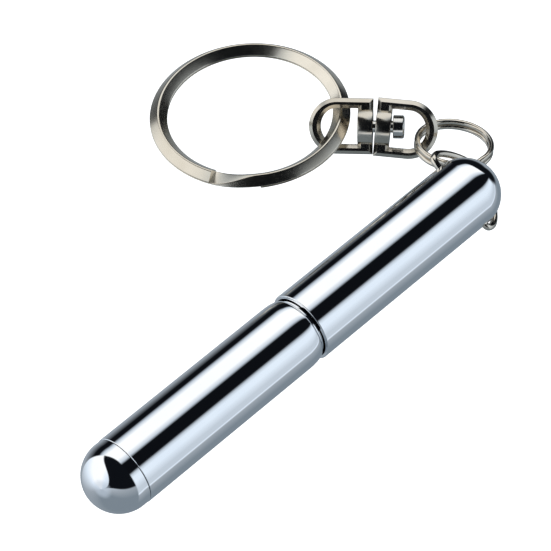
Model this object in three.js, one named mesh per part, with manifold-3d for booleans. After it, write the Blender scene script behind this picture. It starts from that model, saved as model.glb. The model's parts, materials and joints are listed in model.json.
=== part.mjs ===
// Key-ring telescopic ballpoint pen: a domed metal capsule that pulls out in three stages,
// a cap that carries a D-shaped wire, a small split ring, a two-loop swivel and a large split ring.
// Millimetres, +Z up. The pen lies along X, with its cap towards +X, and everything rests on Z = 0.
import * as THREE from 'three';
import { mergeVertices } from 'three/addons/utils/BufferGeometryUtils.js';
import Module from 'manifold-3d';

const wasm = await Module();
wasm.setup();

// ---------------------------------------------------------------- driving dimensions
// Stations along the pen are measured from the cap's rim; radii are from the pen's axis.
const OUTER_FACETS = 40;
const INNER_FACETS = 24;

const CAP = { radius: 5.06, bore: 4.62, domeCentre: 31.96, wall: 0.45, lip: 0.15 };
const CROSS_HOLE = { station: 31.5, radius: 0.66, tilt: 28.4, facets: 16 };
const LINER = { outer: 4.5, inner: 3.78, start: 4.6, end: 22 };

const BARREL = { radius: 5, bore: 4.6, tail: -32, shoulder: -2.9, neck: 4.38, neckBore: 4, mouth: 3 };
const PLUG = { radius: 4.94, domeCentre: -32.9, seam: -32.04, spigot: 4.5, spigotEnd: -29.5, cavity: 3.9 };

// Each telescoping tube: its outer radius, bore, the narrower bore of its mouth, its tail and mouth
// stations, the length of that mouth, and the outer radius of the collar that keeps it in the next tube.
const STAGES = [
  { name: 'stage_1', radius: 3.9, bore: 3.5, lipBore: 3.1, tail: -29.2, mouth: 4, lip: 1.4, collar: 4.5 },
  { name: 'stage_2', radius: 3, bore: 2.6, lipBore: 2.25, tail: -28.7, mouth: 5.2, lip: 1.4, collar: 3.42 },
  { name: 'front', radius: 2.15, bore: 1.75, lipBore: 1.75, tail: -28.2, mouth: 9.3, lip: 1, collar: 2.52 },
];
const COLLAR = { length: 1, gap: 0.05 };
const SPRING = { gapToCollar: 0.2, length: 2.6, clearance: 0.1, slit: 0.5 };

const GRIP = { radius: 3.55, start: 6, end: 23.5, socket: 2.22, socketEnd: 9.5, bore: 2.9 };
const NOSE = { radius: 3.45, start: 23.6, tip: 27.6, tipRadius: 1.2, spigot: 2.8, spigotStart: 20.5 };
const REFILL = { radius: 1.175, bore: 0.95, tail: -26.6, end: 24.4, facets: 16 };
const NIB = { spigotStart: 22.6, shank: 0.6, shankStart: 26.3, coneEnd: 28.7, seat: 0.3, ballRadius: 0.35 };
const STOP_PLUG = { radius: 1.7, start: -28.2, end: -27.1 };

const D_WIRE = { radius: 0.5, near: -5.8, far: 6.65, height: 8.3, corner: 0.95, lean: 28.88, buttGap: 0.3 };
// The near limb runs close beside the dome: distances along the hole and out from it.
const NEAR_LIMB = [[-0.75, 7.75], [-2, 6.65], [-3.3, 5.35], [-4.5, 4], [-5.3, 2.75], [-5.72, 1.5]];
const SMALL_RING = { mean: 5.2, wire: 0.4, pitch: 0.86, step: 34, stepAt: -38, facets: 8, pieces: 84 };
const LARGE_RING = { outer: 14.2, width: 2.5, turn: 1.2, pitch: 1.26, edge: 0.75, step: 30, stepAt: 201.5, pieces: 96 };

const LOOP = { arm: 1.38, base: 2.15, depth: 1.9, bevel: 0.35, boss: 2.58, bow: 1.65 };
const RING_SIDE_LOOP = { length: 9, halfWidth: 3.92 };
const PEN_SIDE_LOOP = { length: 8.75, halfWidth: 4.1 };
const LOOP_GAP = 0.36;
const PEN_LOOP_LEAN = 4.5;
const PIN = { radius: 0.85, headRadius: 1.65, headLength: 1.6, headGap: 0.3, fixedBore: 0.9, runningBore: 1.16 };

// Where the linked pieces lie, in the pen's own frame.
const PEN_AXIS_HEIGHT = CAP.radius;
const SMALL_RING_AT = { centre: [38.793, 8.079, 3.003], normal: [0.232, 0.133, 0.968] };
const SWIVEL_AT = { base: [33.018, 18.205, 3.46], towardsRing: [-0.662, 0.748, -0.04], across: [0.498, 0.507, 0.704] };
const LARGE_RING_AT = { centre: [22.918, 32.556, 2.628], normal: [0.013, 0.079, 0.995] };

// ---------------------------------------------------------------- materials
function metal(colour, roughness) {
  return new THREE.MeshStandardMaterial({ color: colour, roughness, metalness: 1 });
}
const CHROME = metal(0xd4d8de, 0.06);
const NICKEL = metal(0xb9b2a4, 0.22);
const BRASS = metal(0xc29a52, 0.3);
const SPRING_BRONZE = metal(0xb07a4a, 0.32);
const STEEL = metal(0x8f9296, 0.25);
const LINER_PLASTIC = new THREE.MeshStandardMaterial({ color: 0x17181a, roughness: 0.5 });
const REFILL_PLASTIC = new THREE.MeshStandardMaterial({ color: 0xe8e8e4, roughness: 0.45 });

// ---------------------------------------------------------------- helpers
const radians = THREE.MathUtils.degToRad;

function bare(geometry) {
  const positions = geometry.clone();
  positions.deleteAttribute('normal');
  positions.deleteAttribute('uv');
  return mergeVertices(positions, 1e-4);
}

function volume(geometry) {
  const p = geometry.attributes.position;
  const index = geometry.index.array;
  const [a, b, c] = [new THREE.Vector3(), new THREE.Vector3(), new THREE.Vector3()];
  let sum = 0;
  for (let i = 0; i < index.length; i += 3) {
    a.fromBufferAttribute(p, index[i]);
    b.fromBufferAttribute(p, index[i + 1]);
    c.fromBufferAttribute(p, index[i + 2]);
    sum += a.dot(b.cross(c)) / 6;
  }
  return sum;
}

// A merged, closed geometry whose faces point out.
function closed(geometry) {
  const merged = bare(geometry);
  const kept = [];
  const index = merged.index.array;
  for (let i = 0; i < index.length; i += 3) {
    const [a, b, c] = [index[i], index[i + 1], index[i + 2]];
    if (a !== b && b !== c && c !== a) kept.push(a, b, c);
  }
  merged.setIndex(kept);
  if (volume(merged) < 0) merged.setIndex(kept.reverse());
  return merged;
}

function toManifold(geometry) {
  const solid = closed(geometry);
  return new wasm.Manifold(new wasm.Mesh({
    numProp: 3,
    vertProperties: new Float32Array(solid.attributes.position.array),
    triVerts: new Uint32Array(solid.index.array),
  }));
}

function fromManifold(manifold) {
  const mesh = manifold.getMesh();
  const geometry = new THREE.BufferGeometry();
  geometry.setAttribute('position', new THREE.BufferAttribute(new Float32Array(mesh.vertProperties), 3));
  geometry.setIndex(Array.from(mesh.triVerts));
  return geometry;
}

function subtract(geometry, ...tools) {
  return fromManifold(tools.reduce((rest, tool) => rest.subtract(toManifold(tool)), toManifold(geometry)));
}

function join(geometry, ...others) {
  return fromManifold(others.reduce((sum, other) => sum.add(toManifold(other)), toManifold(geometry)));
}

function piece(name, geometry, material) {
  const solid = closed(geometry);
  solid.computeVertexNormals();
  const mesh = new THREE.Mesh(solid, material);
  mesh.name = name;
  return mesh;
}

// A turned piece: [station, radius] pairs spun about X, with a flat facet facing down.
function turned(profile, facets) {
  const points = profile.map(([station, radius]) => new THREE.Vector2(radius, station));
  const geometry = new THREE.LatheGeometry(points, facets, Math.PI / facets);
  geometry.rotateZ(-Math.PI / 2);
  return geometry;
}

// A ring-shaped turned piece with a rectangular section.
function sleeve(start, end, inner, outer, facets) {
  return turned([[start, outer], [end, outer], [end, inner], [start, inner], [start, outer]], facets);
}

function rod(start, end, radius, facets) {
  return turned([[start, 0], [start, radius], [end, radius], [end, 0]], facets);
}

// Profile points on a circular arc, from one angle to another, measured from the +X axis.
function arc(centre, radius, from, to, steps) {
  return Array.from({ length: steps + 1 }, (_, i) => {
    const angle = radians(from + ((to - from) * i) / steps);
    return [centre + radius * Math.cos(angle), Math.max(0, radius * Math.sin(angle))];
  });
}

// A group whose own X and Y axes point along two directions of its parent, which are made square.
function placed(origin, xAxis, yAxis) {
  const x = new THREE.Vector3(...xAxis).normalize();
  const y = new THREE.Vector3(...yAxis);
  y.addScaledVector(x, -x.dot(y)).normalize();
  const z = new THREE.Vector3().crossVectors(x, y);
  const group = new THREE.Group();
  group.quaternion.setFromRotationMatrix(new THREE.Matrix4().makeBasis(x, y, z));
  group.position.set(...origin);
  return group;
}

// A group whose Z axis is a ring's normal and whose X axis lies as near the parent's X as it can.
function ringPlane({ centre, normal }) {
  const z = new THREE.Vector3(...normal).normalize();
  const y = new THREE.Vector3().crossVectors(z, new THREE.Vector3(1, 0, 0)).normalize();
  const x = new THREE.Vector3().crossVectors(y, z);
  return placed(centre, x.toArray(), y.toArray());
}

// ---------------------------------------------------------------- barrel
function barrelTube() {
  const shoulder = [
    [BARREL.shoulder, BARREL.radius],
    [-1.9, 4.94],
    [-1.1, 4.8],
    [-0.55, 4.58],
    [-0.36, BARREL.neck],
  ];
  const inside = [
    [BARREL.mouth, BARREL.neckBore],
    [-1.2, BARREL.neckBore],
    [-2.3, BARREL.bore],
    [BARREL.tail, BARREL.bore],
  ];
  const start = [BARREL.tail, BARREL.radius];
  const profile = [start, ...shoulder, [BARREL.mouth, BARREL.neck], ...inside, start];
  return piece('barrel_tube', turned(profile, OUTER_FACETS), CHROME);
}

function tailPlug() {
  const outside = arc(PLUG.domeCentre, PLUG.radius, 180, 90, 9);
  const cavity = arc(PLUG.domeCentre, PLUG.cavity, 90, 180, 4);
  const profile = [
    ...outside,
    [PLUG.seam, PLUG.radius],
    [PLUG.seam, PLUG.spigot],
    [PLUG.spigotEnd, PLUG.spigot],
    [PLUG.spigotEnd, PLUG.cavity],
    ...cavity,
  ];
  return piece('tail_plug', turned(profile, OUTER_FACETS), CHROME);
}

// ---------------------------------------------------------------- telescoping stages
function stageTube(stage) {
  const lipStart = stage.mouth - stage.lip;
  const step = stage.bore - stage.lipBore;
  const profile = [
    [stage.tail, stage.radius],
    [stage.mouth - 0.25, stage.radius],
    [stage.mouth, stage.radius - 0.25],
    [stage.mouth, stage.lipBore],
    [lipStart, stage.lipBore],
    [lipStart - 2 * step - 0.1, stage.bore],
    [stage.tail, stage.bore],
    [stage.tail, stage.radius],
  ];
  return piece(`${stage.name}_tube`, turned(profile, INNER_FACETS), CHROME);
}

function stageCollar(stage) {
  const inner = stage.radius + COLLAR.gap;
  const ring = sleeve(stage.tail, stage.tail + COLLAR.length, inner, stage.collar, INNER_FACETS);
  return piece(`${stage.name}_collar`, ring, BRASS);
}

// The friction spring is a sleeve with one slit along its length.
function stageSpring(stage) {
  const start = stage.tail + COLLAR.length + SPRING.gapToCollar;
  const inner = stage.radius + SPRING.clearance;
  const ring = sleeve(start, start + SPRING.length, inner, stage.collar - 0.02, INNER_FACETS);
  const slit = new THREE.BoxGeometry(SPRING.length + 1, SPRING.slit, stage.collar);
  slit.translate(start + SPRING.length / 2, 0, stage.collar);
  return piece(`${stage.name}_spring`, subtract(ring, slit), SPRING_BRONZE);
}

function stage(index) {
  const sizes = STAGES[index];
  const group = new THREE.Group();
  group.name = `${sizes.name}_pivot`;
  group.add(stageTube(sizes), stageCollar(sizes), stageSpring(sizes));
  return group;
}

// ---------------------------------------------------------------- writing end
function gripBarrel() {
  const profile = [
    [GRIP.start, GRIP.radius - 0.3],
    [GRIP.start + 0.3, GRIP.radius],
    [GRIP.end, GRIP.radius],
    [GRIP.end, GRIP.bore],
    [GRIP.socketEnd, GRIP.bore],
    [GRIP.socketEnd, GRIP.socket],
    [GRIP.start, GRIP.socket],
    [GRIP.start, GRIP.radius - 0.3],
  ];
  return piece('grip_barrel', turned(profile, INNER_FACETS), CHROME);
}

function noseCone() {
  const refillBore = REFILL.radius + 0.1;
  const nibBore = NIB.shank + 0.1;
  const profile = [
    [NOSE.spigotStart, NOSE.spigot],
    [NOSE.start, NOSE.spigot],
    [NOSE.start, NOSE.radius],
    [NOSE.start + 0.6, NOSE.radius],
    [NOSE.start + 2.2, 2.55],
    [NOSE.tip - 0.2, NOSE.tipRadius],
    [NOSE.tip, NOSE.tipRadius - 0.2],
    [NOSE.tip, nibBore],
    [NIB.shankStart, nibBore],
    [NIB.shankStart - 0.6, refillBore],
    [NOSE.spigotStart, refillBore],
    [NOSE.spigotStart, NOSE.spigot],
  ];
  return piece('nose_cone', turned(profile, INNER_FACETS), CHROME);
}

function refillTube() {
  return piece('refill_tube', sleeve(REFILL.tail, REFILL.end, REFILL.bore, REFILL.radius, REFILL.facets), BRASS);
}

function refillTip() {
  const ballStation = NIB.coneEnd + 0.1;
  const profile = [
    [NIB.spigotStart, 0],
    [NIB.spigotStart, REFILL.bore - 0.06],
    [REFILL.end + 0.05, REFILL.bore - 0.06],
    [REFILL.end + 0.05, REFILL.radius],
    [25.4, REFILL.radius],
    [NIB.shankStart, NIB.shank],
    [27.9, NIB.shank],
    [NIB.coneEnd, NIB.seat + 0.09],
    [ballStation - 0.06, NIB.seat],
    [NIB.coneEnd - 0.45, 0],
  ];
  return piece('refill_tip', turned(profile, REFILL.facets), BRASS);
}

function writingBall() {
  const centre = NIB.coneEnd + 0.14;
  return piece('writing_ball', turned(arc(centre, NIB.ballRadius - 0.08, 180, 0, 8), REFILL.facets), STEEL);
}

function refillStop() {
  return piece('refill_stop', rod(STOP_PLUG.start, STOP_PLUG.end, STOP_PLUG.radius, INNER_FACETS), REFILL_PLASTIC);
}

// ---------------------------------------------------------------- cap
// The hole's axis runs across the pen, raised on the far side.
const HOLE_AXIS = [0, Math.cos(radians(CROSS_HOLE.tilt)), Math.sin(radians(CROSS_HOLE.tilt))];

function capShell() {
  const rim = [[0, CAP.bore], [0, CAP.radius - CAP.lip], [CAP.lip, CAP.radius]];
  const outside = arc(CAP.domeCentre, CAP.radius, 90, 0, 9);
  const inside = arc(CAP.domeCentre, CAP.radius - CAP.wall, 0, 90, 6);
  const shell = turned([...rim, ...outside, ...inside.slice(0, -1), [CAP.domeCentre, CAP.bore], rim[0]], OUTER_FACETS);
  const drill = new THREE.CylinderGeometry(CROSS_HOLE.radius, CROSS_HOLE.radius, 16, CROSS_HOLE.facets);
  drill.rotateX(radians(CROSS_HOLE.tilt));
  drill.translate(CROSS_HOLE.station, 0, 0);
  return piece('cap_shell', subtract(shell, drill), CHROME);
}

function capLiner() {
  return piece('cap_liner', sleeve(LINER.start, LINER.end, LINER.inner, LINER.outer, INNER_FACETS), LINER_PLASTIC);
}

// ---------------------------------------------------------------- D-shaped wire through the cap
// Its own X runs along the cross-hole and its own Y towards the bow.
function dWire() {
  const { near, far, height, corner, radius, buttGap } = D_WIRE;
  const middle = (near + far) / 2;
  const half = (far - near) / 2;
  const shoulder = 1.5;
  const points = [[middle + buttGap / 2, 0], [middle + half / 2, 0], [far - corner, 0]];
  points.push([far - 0.3 * corner, 0.3 * corner]);
  const bowSteps = 7;
  for (let i = 0; i <= bowSteps; i += 1) {
    const angle = (Math.PI * i) / (2 * bowSteps);
    const rise = shoulder + (height - shoulder) * Math.sin(angle);
    points.push([middle + half * Math.cos(angle), rise]);
  }
  points.push(...NEAR_LIMB);
  points.push([near + 0.3 * corner, 0.3 * corner]);
  points.push([near + corner, 0], [middle - half / 2, 0], [middle - buttGap / 2, 0]);
  const stations = points.map(([x, y]) => new THREE.Vector3(x, y, 0));
  const path = new THREE.CatmullRomCurve3(stations, false, 'centripetal');
  return piece('cap_d_wire', wire(path, radius, 10, 60), NICKEL);
}

function roundSection(radius, facets) {
  const points = Array.from({ length: facets }, (_, i) => {
    const angle = (2 * Math.PI * (i + 0.5)) / facets;
    return new THREE.Vector2(radius * Math.cos(angle), radius * Math.sin(angle));
  });
  return new THREE.Shape(points);
}

function wire(path, radius, facets, steps) {
  return new THREE.ExtrudeGeometry(roundSection(radius, facets), { steps, extrudePath: path });
}

// ---------------------------------------------------------------- split rings
// One wire of almost two turns: round on the lower level, up over a short step, round on the upper level.
class SplitRingCurve extends THREE.Curve {
  constructor(radius, pitch, stepDegrees, stepAtDegrees) {
    super();
    Object.assign(this, { radius, pitch, step: radians(stepDegrees), stepAt: radians(stepAtDegrees) });
  }

  getPoint(t, target = new THREE.Vector3()) {
    const turn = 2 * Math.PI;
    const along = t * (2 * turn - this.step);
    const climb = THREE.MathUtils.clamp((along - (turn - this.step)) / this.step, 0, 1);
    const level = -0.5 + climb * climb * (3 - 2 * climb);
    const angle = this.stepAt + this.step + along;
    return target.set(this.radius * Math.cos(angle), this.radius * Math.sin(angle), level * this.pitch);
  }
}

function smallSplitRing() {
  const { mean, wire: radius, pitch, step, stepAt, facets, pieces } = SMALL_RING;
  const path = new SplitRingCurve(mean, pitch, step, stepAt);
  return piece('small_split_ring', wire(path, radius, facets, pieces), NICKEL);
}

// The large ring's wire is flat, with its inner and outer edges bevelled. The section's x is
// the ring's axis and its y is radial.
function largeSplitRing() {
  const { outer, width, turn, pitch, edge, step, stepAt, pieces } = LARGE_RING;
  const halfTurn = turn / 2;
  const section = new THREE.Shape([
    new THREE.Vector2(-halfTurn, -0.1 * width),
    new THREE.Vector2(-halfTurn, 0.1 * width),
    new THREE.Vector2(-halfTurn + edge, width / 2),
    new THREE.Vector2(halfTurn - edge / 3, width / 2),
    new THREE.Vector2(halfTurn, width / 2 - edge / 3),
    new THREE.Vector2(halfTurn, edge / 3 - width / 2),
    new THREE.Vector2(halfTurn - edge / 3, -width / 2),
    new THREE.Vector2(-halfTurn + edge, -width / 2),
  ]);
  const path = new SplitRingCurve(outer - width / 2, pitch, step, stepAt);
  const geometry = new THREE.ExtrudeGeometry(section, { steps: pieces, extrudePath: path });
  return piece('large_split_ring', geometry, NICKEL);
}

// ---------------------------------------------------------------- swivel
// A die-cast loop: straight arms and a round bow around a window, with a round boss at its base.
// Its own X runs from the base plane to the bow, and Y across.
function swivelLoop(name, { length, halfWidth }, pinBore) {
  const { arm, base, depth, bevel, boss, bow } = LOOP;
  const opening = halfWidth - arm;
  const bowCentre = length - halfWidth;
  const outline = new THREE.Shape();
  outline.moveTo(bevel, -halfWidth + bevel);
  outline.lineTo(bowCentre, -halfWidth + bevel);
  outline.absarc(bowCentre, 0, halfWidth - bevel, -Math.PI / 2, Math.PI / 2, false);
  outline.lineTo(bevel, halfWidth - bevel);
  outline.closePath();
  const hole = new THREE.Path();
  hole.moveTo(base - bevel, -opening - bevel);
  hole.lineTo(bowCentre, -opening - bevel);
  hole.absellipse(bowCentre, 0, halfWidth - bow + bevel, opening + bevel, -Math.PI / 2, Math.PI / 2, false);
  hole.lineTo(base - bevel, opening + bevel);
  hole.closePath();
  outline.holes.push(hole);
  const frame = new THREE.ExtrudeGeometry(outline, {
    depth: depth - 2 * bevel,
    bevelThickness: bevel,
    bevelSize: bevel,
    bevelSegments: 1,
    curveSegments: 10,
  });
  frame.translate(0, 0, -depth / 2 + bevel);
  const bossRound = rod(0, base, boss, INNER_FACETS);
  const bore = rod(-1, base + 1, pinBore, 16);
  return piece(name, subtract(join(frame, bossRound), bore), NICKEL);
}

// The rivet is fixed in the ring-side loop, flush with its window, and its head is in the other loop.
function swivelPin() {
  const shaftEnd = LOOP.base - 0.05;
  const headStart = -LOOP_GAP - LOOP.base - PIN.headGap;
  const headEnd = headStart - PIN.headLength;
  const profile = [
    [headEnd, 0],
    [headEnd, PIN.headRadius - 0.2],
    [headEnd + 0.2, PIN.headRadius],
    [headStart, PIN.headRadius],
    [headStart, PIN.radius],
    [shaftEnd, PIN.radius],
    [shaftEnd, 0],
  ];
  return piece('swivel_pin', turned(profile, 16), STEEL);
}

// ---------------------------------------------------------------- assembly
function pen() {
  const group = new THREE.Group();
  group.position.z = PEN_AXIS_HEIGHT;
  const front = stage(2);
  front.add(gripBarrel(), noseCone(), refillTube(), refillTip(), writingBall(), refillStop());
  group.add(barrelTube(), tailPlug(), stage(0), stage(1), front, capShell(), capLiner(), dWireGroup());
  return group;
}

function dWireGroup() {
  const lean = radians(D_WIRE.lean);
  const along = new THREE.Vector3(...HOLE_AXIS);
  const outwards = new THREE.Vector3(1, 0, 0).applyAxisAngle(along, lean);
  const group = placed([CROSS_HOLE.station, 0, 0], HOLE_AXIS, outwards.toArray());
  group.name = 'd_wire_pivot';
  group.add(dWire());
  return group;
}

function swivel() {
  const group = placed(SWIVEL_AT.base, SWIVEL_AT.towardsRing, SWIVEL_AT.across);
  group.name = 'swivel_pivot';
  const penSide = new THREE.Group();
  penSide.position.x = -LOOP_GAP;
  penSide.rotation.z = Math.PI + radians(PEN_LOOP_LEAN);
  penSide.add(swivelLoop('swivel_loop_pen_side', PEN_SIDE_LOOP, PIN.runningBore));
  group.add(swivelLoop('swivel_loop_ring_side', RING_SIDE_LOOP, PIN.fixedBore), penSide, swivelPin());
  return group;
}

function assembly() {
  const smallRing = ringPlane(SMALL_RING_AT);
  smallRing.name = 'small_ring_pivot';
  smallRing.add(smallSplitRing());
  const largeRing = ringPlane(LARGE_RING_AT);
  largeRing.name = 'large_ring_pivot';
  largeRing.add(largeSplitRing());
  const layout = new THREE.Group();
  layout.name = 'layout';
  layout.add(pen(), smallRing, swivel(), largeRing);
  return layout;
}

// The origin is under the middle of the whole object, on the surface it rests on.
const group = new THREE.Group();
const layout = assembly();
group.add(layout);
const box = new THREE.Box3().setFromObject(layout, true);
const middle = box.getCenter(new THREE.Vector3());
layout.position.set(-middle.x, -middle.y, -box.min.z);

export default group;
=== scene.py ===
import json
import math
import bpy
import bmesh
from mathutils import Matrix, Vector


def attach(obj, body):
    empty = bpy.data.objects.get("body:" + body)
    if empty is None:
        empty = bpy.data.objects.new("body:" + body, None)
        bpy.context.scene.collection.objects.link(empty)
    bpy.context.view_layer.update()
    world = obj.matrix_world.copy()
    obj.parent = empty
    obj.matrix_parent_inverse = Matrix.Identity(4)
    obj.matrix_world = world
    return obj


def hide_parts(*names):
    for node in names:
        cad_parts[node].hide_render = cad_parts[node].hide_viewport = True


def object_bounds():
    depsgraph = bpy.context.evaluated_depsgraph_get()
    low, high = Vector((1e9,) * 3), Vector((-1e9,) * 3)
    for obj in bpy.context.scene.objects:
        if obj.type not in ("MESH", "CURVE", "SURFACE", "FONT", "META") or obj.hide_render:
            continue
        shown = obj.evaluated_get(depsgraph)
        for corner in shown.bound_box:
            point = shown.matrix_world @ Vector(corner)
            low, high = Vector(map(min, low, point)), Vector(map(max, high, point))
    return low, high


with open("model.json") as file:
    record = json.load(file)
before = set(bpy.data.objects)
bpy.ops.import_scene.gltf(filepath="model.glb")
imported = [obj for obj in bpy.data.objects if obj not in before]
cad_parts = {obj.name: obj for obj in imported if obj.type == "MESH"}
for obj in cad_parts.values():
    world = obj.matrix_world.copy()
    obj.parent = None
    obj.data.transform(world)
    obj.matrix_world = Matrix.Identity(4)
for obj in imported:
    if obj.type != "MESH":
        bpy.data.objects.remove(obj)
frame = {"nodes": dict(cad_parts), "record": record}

CAD_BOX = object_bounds()

# ------------------------------------------------------------------ sizes, in millimetres
# Stations along the pen are measured from the cap's rim and radii from the pen's axis, as in the CAD.
MM = 0.001
CROSS_HOLE_STATION = 31.5
CROSS_HOLE_RADIUS = 0.66
CROSS_HOLE_TILT = 28.4
CAP_RADIUS = 5.06
CAP_BORE = 4.62
CAP_DOME_CENTRE = 31.96
CAP_WALL = 0.45
LIP_ROUND = 0.15
BARREL_RADIUS = 5.0
PLUG_RADIUS = 4.94
PLUG_DOME_CENTRE = -32.9
PLUG_SEAM = -32.04

# The bent wire lies in a plane through the cross hole. Its near limb follows the cap's dome closely.
D_WIRE = dict(
    radius=0.5, near=-5.8, far=6.65, height=8.3, corner=0.95, foot=1.5,
    lean=28.88, butt_gap=0.3, flatness=1.35,
)
NEAR_LIMB = [(-0.75, 7.75), (-2, 6.65), (-3.3, 5.35), (-4.5, 4), (-5.3, 2.75), (-5.72, 1.5)]
SMALL_RING = dict(mean=5.2, wire=0.4, pitch=0.86, step=34, step_at=-120)
LARGE_RING = dict(outer=14.2, width=2.5, turn=1.2, pitch=1.26, edge=1.04, step=30, step_at=201.5)

# Both swivel loops share these, and the two face each other across a small gap.
LOOP = dict(arm=1.38, base=2.15, depth=1.9, bevel=0.5, boss=2.58, boss_inset=0.012, bow=1.65)
RING_SIDE_LOOP = dict(length=9.0, half_width=3.92, bore=0.9)
PEN_SIDE_LOOP = dict(length=8.75, half_width=4.1, bore=1.16)
LOOP_GAP = 0.36
PEN_LOOP_LEAN = 4.5
PIN = dict(radius=0.85, head_radius=1.65, head_length=1.6, head_gap=0.3)

# Where the loose links lie: a centre in the pen's frame, and a direction.
SMALL_RING_AT = ((38.793, 8.079, 3.003), (0.232, 0.133, 0.968))
SWIVEL_ACROSS = (0.498, 0.507, 0.704)
LARGE_RING_AT = ((22.918, 32.556, 2.628), (0.013, 0.079, 0.995))

# Where the camera stands, in the pen's own frame.
CAMERA_TARGET = (3.83, 8.49, 5.0)
CAMERA_DISTANCE = 380.5
CAMERA_AZIMUTH = -45.16
CAMERA_ELEVATION = 52.52
CAMERA_LENS = 185.52

# The pen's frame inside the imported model, read from the bent wire's hinge.
JOINTS = {joint["name"]: joint for joint in frame["record"]["behaviour"]["joints"]}
HINGE = Vector(JOINTS["d_wire_swing"]["pos_m"])
PEN_AXIS_HEIGHT = CAP_RADIUS
ORIGIN = HINGE - Vector((CROSS_HOLE_STATION, 0, PEN_AXIS_HEIGHT)) * MM
SWIVEL_BASE = Vector(JOINTS["swivel_spin"]["pos_m"])
SWIVEL_AXIS = Vector(JOINTS["swivel_spin"]["axis"])


# ------------------------------------------------------------------ helpers for places and meshes
def place(x, y, z):
    return ORIGIN + Vector((x, y, z)) * MM


def basis(origin, x_axis, y_axis):
    """A frame with its X along x_axis and its Y as near y_axis as it can be."""
    x = Vector(x_axis).normalized()
    y = Vector(y_axis)
    y = (y - x * x.dot(y)).normalized()
    z = x.cross(y)
    matrix = Matrix((x, y, z)).transposed().to_4x4()
    matrix.translation = origin
    return matrix


def ring_basis(centre, normal):
    """A frame with its Z along a ring's normal and its X level."""
    z = Vector(normal).normalized()
    y = z.cross(Vector((1, 0, 0))).normalized()
    return basis(place(*centre), y.cross(z), y)


PEN = Matrix.Translation(place(0, 0, PEN_AXIS_HEIGHT))
SWIVEL = basis(SWIVEL_BASE, SWIVEL_AXIS, SWIVEL_ACROSS)


def new_object(name, mesh, sharp_angle=32):
    mesh.polygons.foreach_set("use_smooth", [True] * len(mesh.polygons))
    mesh.set_sharp_from_angle(angle=math.radians(sharp_angle))
    mesh.update()
    piece = bpy.data.objects.new(name, mesh)
    bpy.context.scene.collection.objects.link(piece)
    return piece


def mesh_from(name, vertices, faces, matrix):
    mesh = bpy.data.meshes.new(name)
    mesh.from_pydata([matrix @ (Vector(v) * MM) for v in vertices], [], faces)
    work = bmesh.new()
    work.from_mesh(mesh)
    bmesh.ops.recalc_face_normals(work, faces=work.faces)
    work.to_mesh(mesh)
    work.free()
    return mesh


def lathe_mesh(name, profile, matrix, segments=144):
    """Turns a closed outline of (station, radius) about the local X axis."""
    vertices = []
    rows = []
    for station, radius in profile:
        if radius < 1e-6:
            rows.append([len(vertices)] * segments)
            vertices.append((station, 0, 0))
            continue
        rows.append([len(vertices) + i for i in range(segments)])
        for i in range(segments):
            turn = 2 * math.pi * i / segments
            vertices.append((station, radius * math.sin(turn), radius * math.cos(turn)))
    faces = []
    count = len(rows)
    for r in range(count):
        a = rows[r]
        b = rows[(r + 1) % count]
        if a[0] == a[1] and b[0] == b[1]:
            continue
        for i in range(segments):
            j = (i + 1) % segments
            faces.append(list(dict.fromkeys((a[i], a[j], b[j], b[i]))))
    return mesh_from(name, vertices, faces, matrix)


def rounded(points, radius=0.08, steps=3):
    """Rounds every corner of a closed outline that turns sharply."""
    result = []
    count = len(points)
    for i in range(count):
        before = Vector(points[i - 1])
        here = Vector(points[i])
        after = Vector(points[(i + 1) % count])
        back = before - here
        ahead = after - here
        turn = math.pi - back.angle(ahead, 0)
        room = min(back.length, ahead.length) * 0.45
        if turn < 0.5 or here[1] < 1e-6 or room < 0.01:
            result.append(tuple(here))
            continue
        reach = min(radius, room)
        start = here + back.normalized() * reach
        end = here + ahead.normalized() * reach
        for k in range(steps + 1):
            t = k / steps
            point = start * (1 - t) ** 2 + here * 2 * t * (1 - t) + end * t * t
            result.append(tuple(point))
    return result


def arc(centre, radius, start, end, steps):
    points = []
    for i in range(steps + 1):
        angle = math.radians(start + (end - start) * i / steps)
        points.append((centre + radius * math.cos(angle), max(0.0, radius * math.sin(angle))))
    return points


def tube_faces(count, size):
    """The sides and both ends of a tube of count rings with size points each."""
    faces = []
    for i in range(count - 1):
        for j in range(size):
            k = (j + 1) % size
            faces.append((i * size + j, i * size + k, (i + 1) * size + k, (i + 1) * size + j))
    faces.append(tuple(range(size)))
    faces.append(tuple((count - 1) * size + j for j in range(size)))
    return faces


def sweep_mesh(name, stations, section, matrix):
    """Sweeps a section along stations of (centre, first side direction, second side direction)."""
    vertices = []
    for centre, first, second in stations:
        for a, b in section:
            vertices.append(centre + first * a + second * b)
    return mesh_from(name, vertices, tube_faces(len(stations), len(section)), matrix)


def round_section(radius, facets=28):
    turns = [2 * math.pi * i / facets for i in range(facets)]
    return [(radius * math.cos(t), radius * math.sin(t)) for t in turns]


def applied(piece, modifiers):
    """The mesh of a piece with its modifiers applied, without the working objects."""
    depsgraph = bpy.context.evaluated_depsgraph_get()
    mesh = bpy.data.meshes.new_from_object(piece.evaluated_get(depsgraph))
    for helper in modifiers + [piece]:
        bpy.data.objects.remove(helper)
    return mesh


def boolean(base_mesh, tools):
    """A mesh with tools of (operation, mesh) joined to it or cut from it in turn."""
    base = bpy.data.objects.new("working_base", base_mesh)
    bpy.context.scene.collection.objects.link(base)
    helpers = []
    for operation, mesh in tools:
        helper = bpy.data.objects.new("working_tool", mesh)
        bpy.context.scene.collection.objects.link(helper)
        modifier = base.modifiers.new("cut", "BOOLEAN")
        modifier.operation = operation
        modifier.solver = "EXACT"
        modifier.object = helper
        helpers.append(helper)
    return applied(base, helpers)


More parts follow.
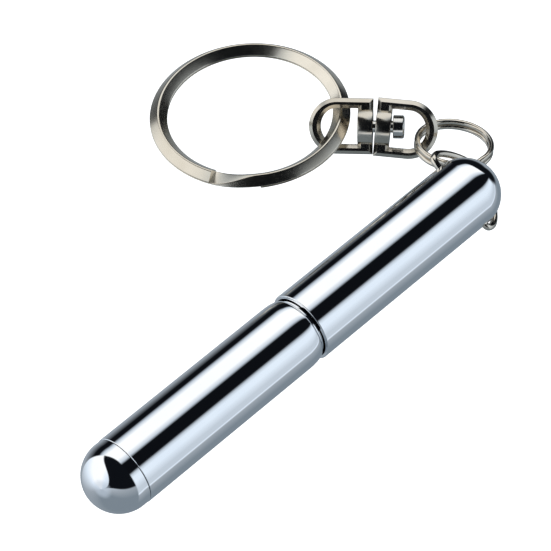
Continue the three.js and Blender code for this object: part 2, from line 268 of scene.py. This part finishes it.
# ------------------------------------------------------------------ materials
def linear(colour):
    """A display colour of 0 to 255 as the linear colour that nodes take."""
    out = []
    for value in colour:
        value /= 255
        out.append(value / 12.92 if value <= 0.04045 else ((value + 0.055) / 1.055) ** 2.4)
    return (*out, 1.0)


def material(name):
    made = bpy.data.materials.new(name)
    made.use_nodes = True
    tree = made.node_tree
    return made, tree, tree.nodes["Principled BSDF"]


def add(tree, kind, **values):
    node = tree.nodes.new(kind)
    for key, value in values.items():
        setattr(node, key, value)
    return node


def noise(tree, scale, detail=3, stretch=(1, 1, 1)):
    where = add(tree, "ShaderNodeTexCoord")
    mapping = add(tree, "ShaderNodeMapping")
    mapping.inputs["Scale"].default_value = [scale * s for s in stretch]
    texture = add(tree, "ShaderNodeTexNoise")
    texture.inputs["Scale"].default_value = 1
    texture.inputs["Detail"].default_value = detail
    tree.links.new(where.outputs["Object"], mapping.inputs["Vector"])
    tree.links.new(mapping.outputs["Vector"], texture.inputs["Vector"])
    return texture.outputs["Fac"]


def ranged(tree, source, low, high):
    """Spreads a noise, which stays near its middle, over low to high."""
    node = add(tree, "ShaderNodeMapRange")
    node.inputs["From Min"].default_value = 0.3
    node.inputs["From Max"].default_value = 0.7
    node.inputs["To Min"].default_value = low
    node.inputs["To Max"].default_value = high
    tree.links.new(source, node.inputs["Value"])
    return node.outputs["Result"]


def tinted(tree, source, first, second):
    mix = add(tree, "ShaderNodeMix", data_type="RGBA")
    mix.inputs["A"].default_value = first
    mix.inputs["B"].default_value = second
    tree.links.new(source, mix.inputs["Factor"])
    return mix.outputs["Result"]


def bumped(tree, shader, source, distance, strength=0.3):
    bump = add(tree, "ShaderNodeBump")
    bump.inputs["Strength"].default_value = strength
    bump.inputs["Distance"].default_value = distance
    tree.links.new(source, bump.inputs["Height"])
    tree.links.new(bump.outputs["Normal"], shader.inputs["Normal"])


def plated(name, first, second, gloss, haze_scale=900, wave=2e-6, stretch=(1, 1, 1)):
    """Plated metal: a slow drift of colour, a fine haze that varies the gloss and very shallow waves."""
    made, tree, shader = material(name)
    shader.inputs["Metallic"].default_value = 1.0
    drift = ranged(tree, noise(tree, 160, 2), 0, 1)
    tree.links.new(tinted(tree, drift, first, second), shader.inputs["Base Color"])
    haze = ranged(tree, noise(tree, haze_scale, 5, stretch), gloss[0], gloss[1])
    tree.links.new(haze, shader.inputs["Roughness"])
    bumped(tree, shader, noise(tree, 500, 3, stretch), wave)
    return made


def moulded(name, first, second, gloss):
    """Moulded plastic: faint streaks of colour, patches of gloss and a fine grain."""
    made, tree, shader = material(name)
    drift = ranged(tree, noise(tree, 700, 4), 0, 1)
    tree.links.new(tinted(tree, drift, first, second), shader.inputs["Base Color"])
    tree.links.new(ranged(tree, noise(tree, 2500, 3), gloss[0], gloss[1]), shader.inputs["Roughness"])
    bumped(tree, shader, noise(tree, 6000, 4), 8e-6, 0.4)
    return made


DRAWN = (0.2, 1, 1)
TURNED = (3, 1, 1)
CHROME = plated("polished_chrome", (0.93, 0.94, 0.955, 1), (0.9, 0.915, 0.94, 1), (0.03, 0.055))
STAGE_CHROME = plated(
    "drawn_chrome", (0.87, 0.88, 0.9, 1), (0.83, 0.85, 0.87, 1), (0.06, 0.12), 700, 3e-6, DRAWN,
)
GRIP_CHROME = plated(
    "turned_chrome", (0.88, 0.89, 0.9, 1), (0.84, 0.85, 0.87, 1), (0.05, 0.1), 800, 3e-6, TURNED,
)
WIRE_NICKEL = plated(
    "wire_nickel", (0.78, 0.72, 0.63, 1), (0.66, 0.6, 0.51, 1), (0.13, 0.19), 1500, 3e-6,
)
RING_NICKEL = plated(
    "ring_nickel", (0.8, 0.74, 0.64, 1), (0.66, 0.6, 0.5, 1), (0.19, 0.225), 1100, 1.2e-6,
)
SWIVEL_NICKEL = plated(
    "cast_nickel", (0.68, 0.63, 0.55, 1), (0.56, 0.51, 0.43, 1), (0.17, 0.21), 1300, 2e-6,
)
RIVET_NICKEL = plated(
    "rivet_nickel", (0.76, 0.74, 0.7, 1), (0.68, 0.66, 0.62, 1), (0.13, 0.2), 1800, 4e-6,
)
BRASS = plated(
    "turned_brass", (0.78, 0.58, 0.27, 1), (0.66, 0.46, 0.19, 1), (0.2, 0.34), 1500, 8e-6, TURNED,
)
SPRING_BRONZE = plated(
    "spring_bronze", (0.68, 0.43, 0.25, 1), (0.55, 0.33, 0.18, 1), (0.24, 0.38), 1500, 8e-6,
)
BALL_STEEL = plated(
    "ball_steel", (0.6, 0.61, 0.62, 1), (0.5, 0.51, 0.53, 1), (0.1, 0.2), 4000, 1e-6,
)
BLACK_PLASTIC = moulded("black_plastic", (0.012, 0.012, 0.014, 1), (0.022, 0.022, 0.025, 1), (0.42, 0.6))
REFILL_PLASTIC = moulded("refill_plastic", (0.78, 0.79, 0.77, 1), (0.66, 0.68, 0.69, 1), (0.3, 0.45))


def finish_piece(piece, look, slot, body, *nodes):
    """Gives a piece its material, the body it rides on and the CAD nodes it stands for. The slot argument
    is not used.
    """
    piece.data.materials.clear()
    piece.data.materials.append(look)
    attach(piece, body)
    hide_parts(*nodes)
    return piece


# ------------------------------------------------------------------ barrel and tail plug
def barrel():
    shoulder = []
    for i in range(19):
        angle = math.radians(90 * i / 18)
        shoulder.append((-2.9 + 2.42 * math.sin(angle), 4.42 + 0.58 * math.cos(angle) ** 0.8))
    neck = [(-0.44, 4.38), (3.0, 4.38)]
    inside = [(3.0, 4.0), (-1.2, 4.0), (-2.3, 4.6), (-32.0, 4.6)]
    lip = [(-32.0, 4.94), (-31.94, BARREL_RADIUS)]
    profile = lip + [(-20.0, BARREL_RADIUS), (-8.0, BARREL_RADIUS)] + shoulder + neck + inside
    mesh = lathe_mesh("barrel_shell", profile, PEN, 192)
    piece = new_object("barrel_shell", mesh, 40)
    return finish_piece(piece, CHROME, "barrel_chrome", "barrel", "barrel_tube")


def tail_plug():
    outside = arc(PLUG_DOME_CENTRE, PLUG_RADIUS, 180, 90, 40)
    edge = [(PLUG_SEAM - 0.06, PLUG_RADIUS), (PLUG_SEAM, PLUG_RADIUS - 0.07)]
    inside = [(PLUG_SEAM, 4.5), (-29.5, 4.5), (-29.5, 3.9)]
    cavity = arc(PLUG_DOME_CENTRE, 3.9, 90, 180, 16)
    mesh = lathe_mesh("tail_dome", outside + edge + inside + cavity, PEN, 192)
    piece = new_object("tail_dome", mesh, 40)
    return finish_piece(piece, CHROME, "tail_chrome", "barrel", "tail_plug")


# ------------------------------------------------------------------ cap
def cap_shell():
    lip = []
    for i in range(9):
        angle = math.radians(180 - 90 * i / 8)
        lip.append((LIP_ROUND * (1 + math.cos(angle)), CAP_RADIUS - LIP_ROUND * (1 - math.sin(angle))))
    straight = [(x, CAP_RADIUS) for x in (4.0, 12.0, 20.0, 28.0)]
    outside = arc(CAP_DOME_CENTRE, CAP_RADIUS, 90, 0, 48)
    inside = arc(CAP_DOME_CENTRE, CAP_RADIUS - CAP_WALL, 0, 90, 24)[:-1]
    bore = [(CAP_DOME_CENTRE, CAP_BORE), (0.0, CAP_BORE)]
    shell = lathe_mesh("cap_dome_shell", lip + straight + outside + inside + bore, PEN, 192)
    tilt = math.radians(CROSS_HOLE_TILT)
    along = (0, math.cos(tilt), math.sin(tilt))
    drill_frame = basis(HINGE, along, (1, 0, 0))
    reach = 8
    drill_outline = [(-reach, 0), (-reach, CROSS_HOLE_RADIUS), (reach, CROSS_HOLE_RADIUS), (reach, 0)]
    drill = lathe_mesh("drill", drill_outline, drill_frame, 40)
    mesh = boolean(shell, [("DIFFERENCE", drill)])
    piece = new_object("cap_dome_shell", mesh, 40)
    smooth_outside(mesh)
    return finish_piece(piece, CHROME, "cap_chrome", "cap", "cap_shell")


def smooth_outside(mesh):
    """Gives the cap's polished outside its true surface normals, right up to the hole's edge."""
    dome = PEN @ (Vector((CAP_DOME_CENTRE, 0, 0)) * MM)
    normals = [Vector(corner.vector) for corner in mesh.corner_normals]
    for face in mesh.polygons:
        away = face.center - dome
        if away.x < 0:
            away.x = 0
        if abs(away.length - CAP_RADIUS * MM) > 0.03 * MM or face.normal.dot(away.normalized()) < 0.9:
            continue
        if face.center.x < (PEN.translation.x + 0.6 * MM):
            continue
        for loop in face.loop_indices:
            here = mesh.vertices[mesh.loops[loop].vertex_index].co - dome
            if here.x < 0:
                here.x = 0
            normals[loop] = here.normalized()
    mesh.normals_split_custom_set(normals)


# ------------------------------------------------------------------ telescoping stages and writing end
def turned_piece(name, profile, look, slot, body, node, segments=96):
    mesh = lathe_mesh(name, rounded(profile), PEN, segments)
    return finish_piece(new_object(name, mesh, 32), look, slot, body, node)


def stage_tube(stage, radius, bore, lip_bore, tail, mouth, lip):
    step = bore - lip_bore
    start = mouth - lip
    profile = [(tail, radius), (mouth - 0.25, radius), (mouth, radius - 0.25), (mouth, lip_bore)]
    profile += [(start, lip_bore), (start - 2 * step - 0.1, bore), (tail, bore)]
    turned_piece(f"{stage}_shell", profile, STAGE_CHROME, "stage_chrome", stage, f"{stage}_tube")


def writing_end():
    grip = [(6, 3.25), (6.3, 3.55), (23.5, 3.55), (23.5, 2.9), (9.5, 2.9), (9.5, 2.22), (6, 2.22)]
    turned_piece("grip_shell", grip, GRIP_CHROME, "grip_chrome", "front", "grip_barrel")
    nose = [(20.5, 2.8), (23.6, 2.8), (23.6, 3.45), (24.2, 3.45), (25.0, 3.18), (25.8, 2.55), (27.4, 1.2)]
    nose += [(27.6, 1.0), (27.6, 0.7), (26.3, 0.7), (25.7, 1.275), (20.5, 1.275)]
    turned_piece("nose_shell", nose, GRIP_CHROME, "grip_chrome", "front", "nose_cone")
    tip = [(22.6, 0), (22.6, 0.89), (24.45, 0.89), (24.45, 1.175), (25.4, 1.175), (26.3, 0.6), (27.9, 0.6)]
    tip += [(28.7, 0.39), (28.74, 0.3), (28.25, 0)]
    turned_piece("refill_nib", tip, BRASS, "refill_brass", "front", "refill_tip", 64)


# ------------------------------------------------------------------ bent wire and split rings
def catmull_rom(points, steps):
    """A centripetal Catmull-Rom curve through the points, with reflected ends."""
    ends = [points[0] * 2 - points[1]] + points + [points[-1] * 2 - points[-2]]
    out = []
    for i in range(1, len(ends) - 2):
        p0, p1, p2, p3 = ends[i - 1:i + 3]
        t1 = max((p1 - p0).length, 1e-9) ** 0.5
        t2 = t1 + max((p2 - p1).length, 1e-9) ** 0.5
        t3 = t2 + max((p3 - p2).length, 1e-9) ** 0.5
        for k in range(steps):
            t = t1 + (t2 - t1) * k / steps
            a1 = p0 * ((t1 - t) / t1) + p1 * (t / t1)
            a2 = p1 * ((t2 - t) / (t2 - t1)) + p2 * ((t - t1) / (t2 - t1))
            a3 = p2 * ((t3 - t) / (t3 - t2)) + p3 * ((t - t2) / (t3 - t2))
            b1 = a1 * ((t2 - t) / t2) + a2 * (t / t2)
            b2 = a2 * ((t3 - t) / (t3 - t1)) + a3 * ((t - t1) / (t3 - t1))
            out.append(b1 * ((t2 - t) / (t2 - t1)) + b2 * ((t - t1) / (t2 - t1)))
    out.append(points[-1])
    return out


def d_wire():
    near = D_WIRE["near"]
    far = D_WIRE["far"]
    corner = D_WIRE["corner"]
    foot = D_WIRE["foot"]
    middle = (near + far) / 2
    half = (far - near) / 2
    gap = D_WIRE["butt_gap"] / 2
    points = [(middle + gap, 0), (middle + half / 2, 0), (far - corner, 0)]
    points += [(far - 0.3 * corner, 0.3 * corner)]
    for i in range(8):
        angle = math.pi * i / 14
        reach = math.cos(angle) ** D_WIRE["flatness"]
        rise = math.sin(angle) ** D_WIRE["flatness"]
        points.append((middle + half * reach, foot + (D_WIRE["height"] - foot) * rise))
    points += NEAR_LIMB
    points += [(near + 0.3 * corner, 0.3 * corner)]
    points += [(near + corner, 0), (middle - half / 2, 0), (middle - gap, 0)]
    path = catmull_rom([Vector((x, y, 0)) for x, y in points], 8)
    stations = []
    for i, here in enumerate(path):
        ahead = (path[min(i + 1, len(path) - 1)] - path[max(i - 1, 0)]).normalized()
        stations.append((here, Vector((0, 0, 1)), Vector((-ahead.y, ahead.x, 0))))
    tilt = math.radians(CROSS_HOLE_TILT)
    along = Vector((0, math.cos(tilt), math.sin(tilt)))
    outwards = Matrix.Rotation(math.radians(D_WIRE["lean"]), 3, along) @ Vector((1, 0, 0))
    plane = basis(HINGE, along, outwards)
    mesh = sweep_mesh("bent_wire", stations, round_section(D_WIRE["radius"]), plane)
    piece = new_object("bent_wire", mesh, 45)
    return finish_piece(piece, WIRE_NICKEL, "wire_nickel", "d_wire", "cap_d_wire")


def split_ring_stations(radius, pitch, step_degrees, step_at, pieces):
    """Two turns: round on the lower level, up over a short step, and round on the upper level."""
    step = math.radians(step_degrees)
    whole = 4 * math.pi - step
    stations = []
    for i in range(pieces + 1):
        along = whole * i / pieces
        climb = min(1.0, max(0.0, (along - (2 * math.pi - step)) / step))
        level = -0.5 + climb * climb * (3 - 2 * climb)
        angle = math.radians(step_at) + step + along
        outward = Vector((math.cos(angle), math.sin(angle), 0))
        slope = 0.0
        if 0 < climb < 1:
            slope = 6 * climb * (1 - climb) / step * pitch / radius
        ahead = Vector((-outward.y, outward.x, slope)).normalized()
        stations.append((outward * radius + Vector((0, 0, level * pitch)), outward, outward.cross(ahead)))
    return stations


def small_ring():
    sizes = SMALL_RING
    stations = split_ring_stations(sizes["mean"], sizes["pitch"], sizes["step"], sizes["step_at"], 360)
    frame_at = ring_basis(*SMALL_RING_AT)
    mesh = sweep_mesh("small_ring_wire", stations, round_section(sizes["wire"], 24), frame_at)
    piece = new_object("small_ring_wire", mesh, 45)
    return finish_piece(piece, WIRE_NICKEL, "ring_nickel", "small_ring", "small_split_ring")


def large_ring():
    """The two turns close into one lozenge: the upper turn's ridge is up and the lower turn's is down."""
    sizes = LARGE_RING
    half = sizes["turn"] / 2
    wide = sizes["width"] / 2
    slope = half - sizes["edge"]
    flat = 0.07
    ridge = [(0.1 * wide, half), (-0.1 * wide, half)]
    outline = [(-wide, slope), (-wide, flat - half), (flat - wide, -half), (wide - flat, -half)]
    outline += [(wide, flat - half), (wide, slope)] + ridge
    upper = softened(outline, 0.13)
    lower = [(x, -y) for x, y in upper]
    count = len(lower)
    lower = [lower[(count // 2 - i + 2) % count] for i in range(count)]
    middle = sizes["outer"] - wide
    stations = split_ring_stations(middle, sizes["pitch"], sizes["step"], sizes["step_at"], 480)
    mesh = ring_band_mesh(stations, match_start(upper, lower), upper, ring_basis(*LARGE_RING_AT))
    piece = new_object("large_ring_band", mesh, 45)
    return finish_piece(piece, RING_NICKEL, "ring_nickel", "large_ring", "large_split_ring")


def match_start(upper, lower):
    """Turns the lower outline's list round until its points pair best with the upper's."""
    count = len(upper)

    def spread(shift):
        return sum((Vector(lower[(i + shift) % count]) - Vector(upper[i])).length for i in range(count))
    best = min(range(count), key=spread)
    return [lower[(i + best) % count] for i in range(count)]


def ring_band_mesh(stations, lower, upper, matrix):
    """Sweeps an outline that changes from lower to upper as the band climbs from one level to the other."""
    vertices = []
    levels = [centre.z for centre, first, second in stations]
    low, high = min(levels), max(levels)
    for centre, first, second in stations:
        share = (centre.z - low) / (high - low)
        for (ax, ay), (bx, by) in zip(lower, upper):
            across = ax + (bx - ax) * share
            rise = ay + (by - ay) * share
            vertices.append(centre + first * across + second * rise)
    return mesh_from("large_ring_band", vertices, tube_faces(len(stations), len(upper)), matrix)


def softened(outline, reach, steps=4):
    """Rounds every corner of a closed outline."""
    result = []
    count = len(outline)
    for i in range(count):
        here = Vector(outline[i])
        before = Vector(outline[i - 1]) - here
        after = Vector(outline[(i + 1) % count]) - here
        start = here + before.normalized() * min(reach, before.length * 0.4)
        end = here + after.normalized() * min(reach, after.length * 0.4)
        for k in range(steps + 1):
            t = k / steps
            result.append(tuple(start * (1 - t) ** 2 + here * 2 * t * (1 - t) + end * t * t))
    return result


# ------------------------------------------------------------------ swivel
def loop_outline(length, half_width):
    """The outer and inner outlines of a loop, drawn in by the bevel that the curve adds back."""
    bevel = LOOP["bevel"]
    base = LOOP["base"]
    opening = half_width - LOOP["arm"]
    centre = length - half_width
    outer = [(bevel, -half_width + bevel)]
    inner = [(base - bevel, -opening - bevel)]
    for i in range(41):
        angle = math.radians(-90 + 180 * i / 40)
        reach = half_width - bevel
        outer.append((centre + reach * math.cos(angle), reach * math.sin(angle)))
        bow = half_width - LOOP["bow"] + bevel
        inner.append((centre + bow * math.cos(angle), (opening + bevel) * math.sin(angle)))
    outer.append((bevel, half_width - bevel))
    inner.append((base - bevel, opening + bevel))
    return outer, inner


def loop_mesh(name, length, half_width, bore, matrix):
    """A chamfered loop with a round boss across its base and a bore for the rivet."""
    curve = bpy.data.curves.new(name, "CURVE")
    curve.dimensions = "2D"
    curve.fill_mode = "BOTH"
    curve.extrude = LOOP["depth"] / 2 - LOOP["bevel"]
    curve.bevel_depth = LOOP["bevel"]
    curve.bevel_resolution = 0
    for outline in loop_outline(length, half_width):
        spline = curve.splines.new("POLY")
        spline.points.add(len(outline) - 1)
        spline.use_cyclic_u = True
        for point, (x, y) in zip(spline.points, outline):
            point.co = (x, y, 0, 1)
    holder = bpy.data.objects.new(name, curve)
    bpy.context.scene.collection.objects.link(holder)
    depsgraph = bpy.context.evaluated_depsgraph_get()
    mesh = bpy.data.meshes.new_from_object(holder.evaluated_get(depsgraph))
    bpy.data.objects.remove(holder)
    mesh.transform(matrix @ Matrix.Scale(MM, 4))
    work = bmesh.new()
    work.from_mesh(mesh)
    bmesh.ops.remove_doubles(work, verts=work.verts, dist=1e-7)
    bmesh.ops.recalc_face_normals(work, faces=work.faces)
    work.to_mesh(mesh)
    work.free()
    base = LOOP["base"]
    boss = LOOP["boss"]
    start = LOOP["boss_inset"]
    end = base - start
    profile = [(start, 0), (start, boss - 0.14), (start + 0.05, boss - 0.04), (start + 0.15, boss)]
    profile += [(end - 0.15, boss), (end - 0.05, boss - 0.04), (end, boss - 0.14), (end, 0)]
    boss_mesh = lathe_mesh("boss", profile, matrix, 71)
    bore_mesh = lathe_mesh("bore", [(-1, 0), (-1, bore), (base + 1, bore), (base + 1, 0)], matrix, 48)
    return boolean(mesh, [("UNION", boss_mesh), ("DIFFERENCE", bore_mesh)])


def swivel():
    ring_side = loop_mesh("ring_side_loop", matrix=SWIVEL, **RING_SIDE_LOOP)
    piece = new_object("ring_side_loop", ring_side, 38)
    finish_piece(piece, SWIVEL_NICKEL, "swivel_nickel", "swivel_ring_side", "swivel_loop_ring_side")
    turn = Matrix.Rotation(math.pi + math.radians(PEN_LOOP_LEAN), 4, "Z")
    pen_frame = SWIVEL @ Matrix.Translation((-LOOP_GAP * MM, 0, 0)) @ turn
    pen_side = loop_mesh("pen_side_loop", matrix=pen_frame, **PEN_SIDE_LOOP)
    piece = new_object("pen_side_loop", pen_side, 38)
    finish_piece(piece, SWIVEL_NICKEL, "swivel_nickel", "swivel_pen_side", "swivel_loop_pen_side")


def rivet():
    start = -LOOP_GAP - LOOP["base"] - PIN["head_gap"]
    end = start - PIN["head_length"]
    head = PIN["head_radius"]
    profile = [(end, 0), (end, head - 0.35)]
    for i in range(1, 7):
        angle = math.radians(90 * i / 6)
        profile.append((end + 0.3 - 0.3 * math.cos(angle), head - 0.35 + 0.35 * math.sin(angle)))
    profile += [(start - 0.08, head), (start, head - 0.08), (start, PIN["radius"])]
    profile += [(LOOP["base"] - 0.05, PIN["radius"]), (LOOP["base"] - 0.05, 0)]
    mesh = lathe_mesh("swivel_rivet", profile, SWIVEL, 64)
    piece = new_object("swivel_rivet", mesh, 38)
    return finish_piece(piece, RIVET_NICKEL, "rivet_steel", "swivel_ring_side", "swivel_pin")


# ------------------------------------------------------------------ finishes on the CAD solids that stay
KEPT_LOOKS = {
    "stage_1_collar": BRASS,
    "stage_2_collar": BRASS,
    "front_collar": BRASS,
    "stage_1_spring": SPRING_BRONZE,
    "stage_2_spring": SPRING_BRONZE,
    "front_spring": SPRING_BRONZE,
    "cap_liner": BLACK_PLASTIC,
    "refill_stop": BLACK_PLASTIC,
    "refill_tube": REFILL_PLASTIC,
    "writing_ball": BALL_STEEL,
}


def kept_solids():
    for node, look in KEPT_LOOKS.items():
        solid = frame["nodes"][node]
        if isinstance(solid, str):
            solid = bpy.data.objects[solid]
        for i in range(len(solid.material_slots)):
            solid.material_slots[i].material = look
        if not solid.material_slots:
            solid.data.materials.append(look)


# ------------------------------------------------------------------ studio
# Tones of the studio, as display colours.
UNDERSIDE = (120, 131, 140)
MIST = (152, 160, 168)
SILL = (190, 200, 210)
PALE = (222, 233, 244)
SOFTBOX = (252, 254, 255)
FLAG = (12, 14, 18)

# The same for the flags and the card that are mixed in, as linear colours.
UNLIT = (0.004, 0.005, 0.007, 1)
END_CARD = (0.5, 0.57, 0.65, 1)
STUDIO_STRENGTH = 1.12

# Long softboxes and dark flags stand beside the object, so the light changes with the angle about the pen:
# (degrees from straight up towards +Y, tone).
SURROUND = [
    (-180, UNDERSIDE), (-148, UNDERSIDE), (-119, MIST), (-114, PALE), (-110, SILL), (-96, SILL),
    (-72, PALE), (-58, PALE), (-50, SILL), (-43, FLAG), (-9, FLAG), (-2, SILL), (12, SOFTBOX),
    (46, SOFTBOX), (59, SILL), (68, FLAG), (86, FLAG), (122, MIST), (180, UNDERSIDE),
]

# The light beyond the pen's tail end, read the same way.
TAIL_END_SURROUND = [
    (-180, UNDERSIDE), (-112, UNDERSIDE), (-80, MIST), (-40, SILL), (0, PALE), (25, SOFTBOX),
    (76, SOFTBOX), (100, PALE), (140, MIST), (180, UNDERSIDE),
]


def light_ramp(tree, fraction, bands):
    """A colour ramp over a whole turn, from -180 to 180 degrees."""
    ramp = add(tree, "ShaderNodeValToRGB")
    stops = ramp.color_ramp.elements
    while len(stops) > 1:
        stops.remove(stops[-1])
    stops[0].position = 0
    stops[0].color = linear(bands[0][1])
    for degrees, colour in bands[1:]:
        stop = stops.new((degrees + 180) / 360)
        stop.color = linear(colour)
    tree.links.new(fraction, ramp.inputs["Fac"])
    return ramp.outputs["Color"]


def surround():
    """A world light whose tone follows its direction: the angle about X, and how far along X it points."""
    world = bpy.data.worlds.new("studio")
    bpy.context.scene.world = world
    world.use_nodes = True
    tree = world.node_tree

    def feed(value, socket):
        if isinstance(value, (int, float)):
            socket.default_value = value
        else:
            tree.links.new(value, socket)

    def maths(operation, first, second=0.0):
        node = add(tree, "ShaderNodeMath", operation=operation)
        feed(first, node.inputs[0])
        feed(second, node.inputs[1])
        return node.outputs["Value"]

    def edge(value, start, end):
        """0 below start and 1 above end, with a smooth change between."""
        node = add(tree, "ShaderNodeMapRange", interpolation_type="SMOOTHSTEP")
        feed(value, node.inputs["Value"])
        node.inputs["From Min"].default_value = start
        node.inputs["From Max"].default_value = end
        return node.outputs["Result"]

    def mixed(factor, first, second):
        node = add(tree, "ShaderNodeMix", data_type="RGBA")
        feed(factor, node.inputs["Factor"])
        for colour, socket in ((first, node.inputs["A"]), (second, node.inputs["B"])):
            if isinstance(colour, tuple):
                socket.default_value = colour
            else:
                tree.links.new(colour, socket)
        return node.outputs["Result"]

    where = add(tree, "ShaderNodeTexCoord")
    split = add(tree, "ShaderNodeSeparateXYZ")
    tree.links.new(where.outputs["Generated"], split.inputs["Vector"])
    along = split.outputs["X"]
    turn = maths("ARCTAN2", split.outputs["Y"], split.outputs["Z"])
    degrees = maths("MULTIPLY", turn, 180 / math.pi)
    fraction = maths("ADD", maths("DIVIDE", degrees, 360.0), 0.5)
    cap_end = light_ramp(tree, fraction, SURROUND)
    tail_end = light_ramp(tree, fraction, TAIL_END_SURROUND)

    # A dark flag over the tail end, narrowing to a point away from the pen, and a pale card at its end.
    away = maths("MULTIPLY", along, -1.0)
    square = maths("MULTIPLY", along, along)
    fourth = maths("MULTIPLY", square, square)
    left = maths("ADD", maths("MULTIPLY", away, 12.0), maths("MULTIPLY", fourth, 25.0))
    right = maths("ADD", maths("MULTIPLY", away, 20.0), maths("MULTIPLY", square, 80.0))
    inside_left = edge(maths("SUBTRACT", maths("ADD", degrees, 83.0), left), -3.0, 3.0)
    inside_right = edge(maths("SUBTRACT", maths("SUBTRACT", 52.0, degrees), right), -3.0, 3.0)
    tail_flag = maths("MULTIPLY", inside_left, inside_right)
    tail_end = mixed(tail_flag, tail_end, UNLIT)
    end_card = maths("MULTIPLY", edge(away, 0.86, 0.99), 0.65)
    tail_end = mixed(end_card, tail_end, END_CARD)

    # A dark flag beyond the cap end, on the large ring's side, that closes round the pen's axis.
    past = maths("MAXIMUM", maths("SUBTRACT", along, 0.68), 0.0)
    beyond = maths("MULTIPLY", maths("MULTIPLY", past, past), 900.0)
    cap_flag = edge(maths("SUBTRACT", degrees, maths("SUBTRACT", 63.0, beyond)), -5.0, 5.0)
    cap_flag = maths("MULTIPLY", cap_flag, edge(maths("SUBTRACT", 116.0, degrees), -18.0, 18.0))
    cap_flag = maths("MULTIPLY", cap_flag, edge(along, 0.46, 0.54))
    cap_flag = maths("MAXIMUM", cap_flag, edge(along, 0.93, 0.98))
    cap_end = mixed(cap_flag, cap_end, UNLIT)

    # The two ends meet on a line that drops towards the large ring's side.
    drop = maths("MULTIPLY", edge(degrees, 0.0, 90.0), -0.24)
    border = maths("ADD", 0.1, drop)
    share = edge(maths("SUBTRACT", along, border), -0.035, 0.035)
    background = tree.nodes["Background"]
    tree.links.new(mixed(share, tail_end, cap_end), background.inputs["Color"])
    background.inputs["Strength"].default_value = STUDIO_STRENGTH
    bpy.context.scene.view_settings.view_transform = "Standard"


# The links can swing below the surface that the pen rests on, so the white floor is a little lower.
FLOOR_DROP = 45
FLOOR_REACH = 3.0


def studio_floor():
    mesh = bpy.data.meshes.new("floor")
    low = CAD_BOX[0][2] - FLOOR_DROP * MM
    reach = FLOOR_REACH
    corners = [(-reach, -reach, low), (reach, -reach, low), (reach, reach, low), (-reach, reach, low)]
    mesh.from_pydata(corners, [], [(0, 1, 2, 3)])
    floor = bpy.data.objects.new("floor", mesh)
    bpy.context.scene.collection.objects.link(floor)
    made, _, shader = material("pale_floor")
    shader.inputs["Base Color"].default_value = (0.9, 0.9, 0.9, 1)
    shader.inputs["Roughness"].default_value = 0.9
    shader.inputs["Emission Color"].default_value = (1, 1, 1, 1)
    shader.inputs["Emission Strength"].default_value = 1.0
    mesh.materials.append(made)
    floor.visible_glossy = False
    floor.visible_shadow = False


def camera():
    azimuth = math.radians(CAMERA_AZIMUTH)
    elevation = math.radians(CAMERA_ELEVATION)
    level = math.cos(elevation)
    back = Vector((math.sin(azimuth) * level, -math.cos(azimuth) * level, math.sin(elevation)))
    right = Vector((math.cos(azimuth), math.sin(azimuth), 0))
    up = back.cross(right)
    data = bpy.data.cameras.new("view")
    data.lens = CAMERA_LENS
    data.sensor_width = 36
    data.clip_start = 0.01
    data.clip_end = 20
    view = bpy.data.objects.new("view", data)
    matrix = Matrix((right, up, back)).transposed().to_4x4()
    matrix.translation = place(*CAMERA_TARGET) + back * CAMERA_DISTANCE * MM
    view.matrix_world = matrix
    bpy.context.scene.collection.objects.link(view)
    bpy.context.scene.camera = view


camera()
barrel()
tail_plug()
cap_shell()
stage_tube("stage_1", 3.9, 3.5, 3.1, -29.2, 4.0, 1.4)
stage_tube("stage_2", 3.0, 2.6, 2.25, -28.7, 5.2, 1.4)
stage_tube("front", 2.15, 1.75, 1.75, -28.2, 9.3, 1.0)
writing_end()
d_wire()
small_ring()
large_ring()
swivel()
rivet()
kept_solids()
surround()
studio_floor()
